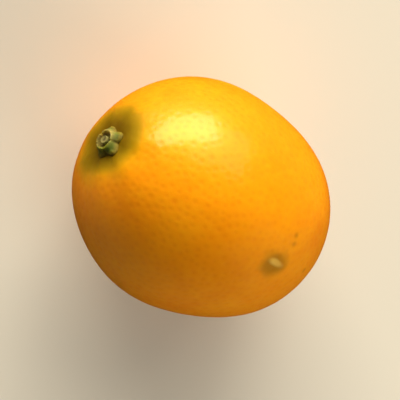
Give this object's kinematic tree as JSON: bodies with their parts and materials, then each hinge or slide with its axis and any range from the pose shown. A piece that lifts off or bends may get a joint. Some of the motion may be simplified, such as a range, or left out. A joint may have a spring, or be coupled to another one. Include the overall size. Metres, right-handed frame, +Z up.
{
  "type": "kumquat",
  "caption": "Whole ripe kumquat lying on its side: an oval orange citrus fruit with a green five-lobed calyx and a short clipped stem, resting on a small flat spot.",
  "frame": {"origin": "middle of the small flat spot that the fruit rests on", "axes": "+Z up from the surface, +X along the table towards the stem end, which is raised 20 degrees"},
  "size_m": [0.0347, 0.0294, 0.0293],
  "materials": {
    "peel": "satin",
    "calyx": "matte",
    "dry_stem": "matte"
  },
  "bodies": {
    "root": {"fruit": "peel", "calyx": "calyx", "stem_stub": "dry_stem"}
  },
  "joints": []
}
